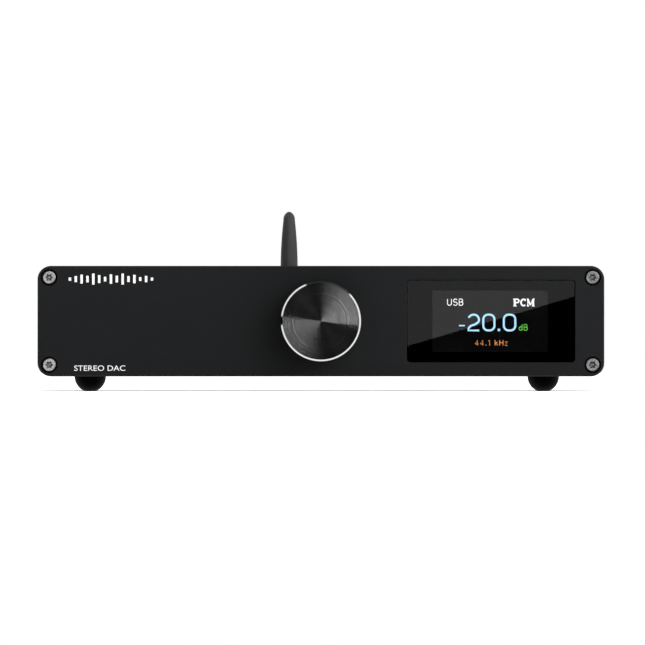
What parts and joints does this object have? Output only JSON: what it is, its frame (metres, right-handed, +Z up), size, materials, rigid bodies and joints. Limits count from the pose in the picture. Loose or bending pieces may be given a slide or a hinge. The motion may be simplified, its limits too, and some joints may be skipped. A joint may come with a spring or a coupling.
{
  "type": "desktop dac",
  "caption": "Flat metal desktop audio converter with a display window, a push-and-turn volume knob, domed rubber feet, rear sockets and a folding rear aerial.",
  "frame": {"origin": "on the table, under the middle of the bounding box, knob and aerial included", "axes": "+X to the right seen from the front, +Y towards the back, +Z up"},
  "size_m": [0.21, 0.225, 0.0673],
  "materials": {
    "case": "bead-blasted, anodised dark grey",
    "rear_plate": "anodised near-black, satin",
    "knob": "spun face, anodised dark grey, bright chamfer",
    "silver_screws": "satin silver",
    "black_screws": "black oxide",
    "board_screws": "zinc plated",
    "rubber": "glossy black rubber",
    "window": "smoked, polished",
    "display": "backlit panel",
    "black_plastic": "moulded, fine matt",
    "sensor": "dark infrared filter",
    "board": "solder mask, satin",
    "chip": "moulded black",
    "plated_can": "tin plate",
    "relay": "ivory moulded",
    "capacitor": "shrink sleeve",
    "core": "ferrite and tape",
    "fuse": "glass tube and caps",
    "brass": "turned",
    "shaft": "turned",
    "plunger": "natural acetal",
    "wire": "insulated wire",
    "balanced_shell": "black lacquer, satin",
    "gold": "gold plated",
    "gold_nut": "gold plated",
    "phono_left": "white moulded",
    "phono_right": "red moulded",
    "phono_digital": "black moulded",
    "insulator": "white moulded",
    "steel_shell": "drawn and plated",
    "inlet_pins": "nickel plated",
    "switch": "moulded, semi-gloss",
    "aerial": "moulded, fine texture",
    "collar": "gold plated"
  },
  "bodies": {
    "chassis": {"front_panel_screws": "silver_screws", "rear_panel_screws": "black_screws", "board_screws": "board_screws", "balanced_screws": "black_screws", "case_sleeve": "case", "front_panel": "case", "rear_panel": "rear_plate", "rubber_feet": "rubber", "display_window": "window", "display_panel": "display", "display_holder": "black_plastic", "remote_sensor": "sensor", "front_board": "board", "encoder_body": "plated_can", "encoder_bushing": "plated_can", "encoder_nut": "plated_can", "main_board": "board", "converter_chip": "chip", "interface_chip": "chip", "output_amplifiers": "chip", "clock_oscillators": "plated_can", "output_relays": "relay", "wireless_module": "plated_can", "filter_capacitors": "capacitor", "power_board": "board", "power_board_standoffs": "brass", "power_transformer": "core", "bulk_capacitor": "capacitor", "line_filter_choke": "core", "mains_fuse": "fuse", "mains_leads": "wire", "supply_harness": "wire", "antenna_lead": "wire", "front_ribbon": "black_plastic", "balanced_output_left": "balanced_shell", "balanced_output_right": "balanced_shell", "balanced_pins": "gold", "phono_output_left": "phono_left", "phono_output_right": "phono_right", "coax_input": "phono_digital", "phono_sleeves": "gold", "phono_insulators": "insulator", "usb_socket": "steel_shell", "usb_tongue": "black_plastic", "optical_input": "black_plastic", "power_inlet": "black_plastic", "inlet_pins": "inlet_pins", "power_switch": "switch", "antenna_socket": "gold", "antenna_socket_nut": "gold_nut", "antenna_collar": "collar"},
    "push_plunger": {"encoder_plunger": "plunger"},
    "volume_knob": {"volume_knob": "knob", "encoder_shaft": "shaft", "knob_set_screw": "shaft"},
    "antenna_elbow": {"antenna_yoke": "aerial", "antenna_hinge_pin": "shaft"},
    "antenna_mast": {"antenna_blade": "aerial"},
    "power_rocker": {"switch_rocker": "switch"},
    "port_shutter": {"optical_shutter": "black_plastic"}
  },
  "joints": [
    {"name": "knob_push", "type": "slide", "parent": "chassis", "child": "push_plunger", "axis": [0, 1, 0], "range_m": [0, 0.0006], "stiffness_N_per_m": 3000, "springref_m": -0.0004},
    {"name": "knob_spin", "type": "hinge", "parent": "push_plunger", "child": "volume_knob", "pos_m": [0, -0.09855, 0.026], "axis": [0, 1, 0], "continuous": true},
    {"name": "antenna_swivel", "type": "hinge", "parent": "chassis", "child": "antenna_elbow", "pos_m": [-0.012, 0.10145, 0.035], "axis": [0, 1, 0], "range_deg": [-180, 180]},
    {"name": "antenna_tilt", "type": "hinge", "parent": "antenna_elbow", "child": "antenna_mast", "pos_m": [-0.012, 0.10895, 0.035], "axis": [-1, 0, 0], "range_deg": [0, 90]},
    {"name": "power_switch", "type": "hinge", "parent": "chassis", "child": "power_rocker", "pos_m": [-0.086, 0.08885, 0.036], "axis": [0, 0, 1], "range_deg": [0, 20]},
    {"name": "shutter_swing", "type": "hinge", "parent": "chassis", "child": "port_shutter", "pos_m": [-0.068, 0.08665, 0.0242], "axis": [-1, 0, 0], "range_deg": [0, 80], "stiffness_Nm_per_rad": 0.0002, "springref_deg": -28.65}
  ]
}
